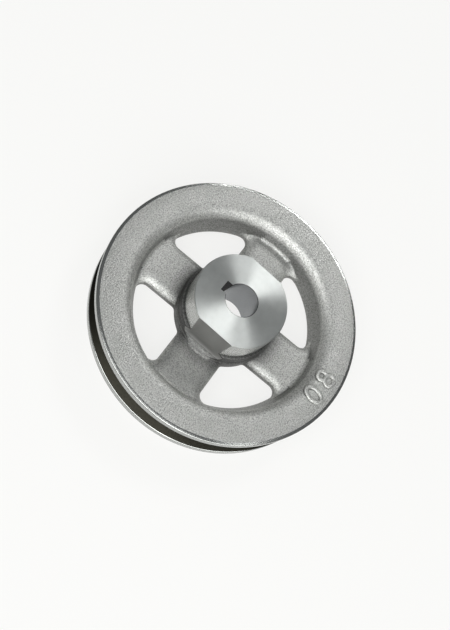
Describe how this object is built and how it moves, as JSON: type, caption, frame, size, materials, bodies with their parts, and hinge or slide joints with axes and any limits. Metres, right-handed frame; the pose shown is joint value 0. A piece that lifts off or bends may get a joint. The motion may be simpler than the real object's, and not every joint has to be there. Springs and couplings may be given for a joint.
{
  "type": "taper bore v-belt pulley",
  "caption": "Cast aluminium V-belt pulley with spoked web, turned groove and a long hub with a tapered, keyed bore.",
  "frame": {"origin": "on the pulley's axis, at the back face of the rim, which it rests on", "axes": "+Z along the axis towards the hub's nose, the spokes along X and Y, the keyway on the side of +Y"},
  "size_m": [0.09, 0.09, 0.0233],
  "materials": {
    "cast_aluminium": "as cast and satin on the web and rim faces, turned bright on the hub, the bore, the groove and the rim's edges"
  },
  "bodies": {
    "root": {"pulley": "cast_aluminium"}
  },
  "joints": []
}
